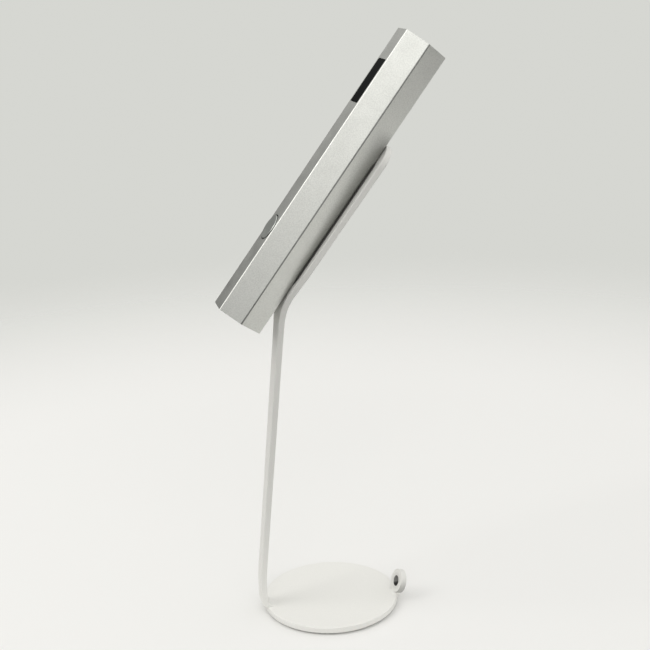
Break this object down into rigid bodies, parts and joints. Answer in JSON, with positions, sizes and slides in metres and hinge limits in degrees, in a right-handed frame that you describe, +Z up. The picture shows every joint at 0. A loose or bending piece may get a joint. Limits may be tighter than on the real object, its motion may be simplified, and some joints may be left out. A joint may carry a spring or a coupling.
{
  "type": "tilted bar display on a sheet-metal stand",
  "caption": "Slim six-sided metal display bar with a small window and a push button, leaning back on a tapered bent-sheet stand with a round base and a cable eye.",
  "frame": {"origin": "on the table, under the centre of the round base", "axes": "+Z up; the reader looks along +Y at the window and button; the arm rises at the -Y edge of the base and leans back to +Y; +X to the reader's right"},
  "size_m": [0.0742, 0.1209, 0.3108],
  "materials": {
    "white_powder_coat": "fine-textured white powder coat",
    "base_rubber": "matte non-slip rubber",
    "pad_foam": "closed-cell black pad",
    "screw_steel": "zinc-plated steel",
    "plate_steel": "plain steel",
    "anodised_silver": "bead-blasted, clear anodised",
    "tinted_window": "black tinted acrylic, polished",
    "adhesive_film": "black adhesive film",
    "panel_glass": "dark display glass",
    "black_plastic": "moulded plastic",
    "ribbon_film": "amber flexible circuit",
    "connector_plastic": "natural plastic",
    "board_laminate": "solder-masked laminate",
    "chip_package": "moulded epoxy",
    "shield_steel": "spring steel",
    "cell_sleeve": "shrink sleeve over a steel can",
    "lead_insulation": "silicone insulation",
    "anodised_button": "bead-blasted, clear anodised"
  },
  "bodies": {
    "unit": {"stand": "white_powder_coat", "base_pad": "base_rubber", "mounting_pad": "pad_foam", "mounting_screws": "screw_steel", "nut_plate": "plate_steel", "housing_tube": "anodised_silver", "top_cap": "anodised_silver", "bottom_cap": "anodised_silver", "top_cap_screws": "screw_steel", "bottom_cap_screws": "screw_steel", "display_window": "tinted_window", "window_adhesive": "adhesive_film", "display_panel": "panel_glass", "display_frame": "black_plastic", "display_ribbon": "ribbon_film", "display_connector": "connector_plastic", "main_board": "board_laminate", "board_chips": "chip_package", "radio_shield": "shield_steel", "board_screws": "screw_steel", "chassis": "black_plastic", "battery_cell": "cell_sleeve", "battery_leads": "lead_insulation", "battery_connector": "connector_plastic", "charge_port_shell": "shield_steel", "charge_port_tongue": "black_plastic", "switch_body": "black_plastic", "switch_cover": "shield_steel", "switch_dome": "shield_steel"},
    "button": {"button_cap": "anodised_button"},
    "plunger": {"switch_plunger": "connector_plastic"}
  },
  "joints": [
    {"name": "button_press", "type": "slide", "parent": "unit", "child": "button", "axis": [0, 0.7965, -0.6046], "range_m": [0, 0.0004], "stiffness_N_per_m": 100, "springref_m": -0.0005},
    {"name": "plunger_travel", "type": "slide", "parent": "unit", "child": "plunger", "axis": [0, 0.7965, -0.6046], "range_m": [0, 0.0004]}
  ],
  "couplings": [
    {"joint": "plunger_travel", "follows": "button_press", "ratio": 1}
  ]
}
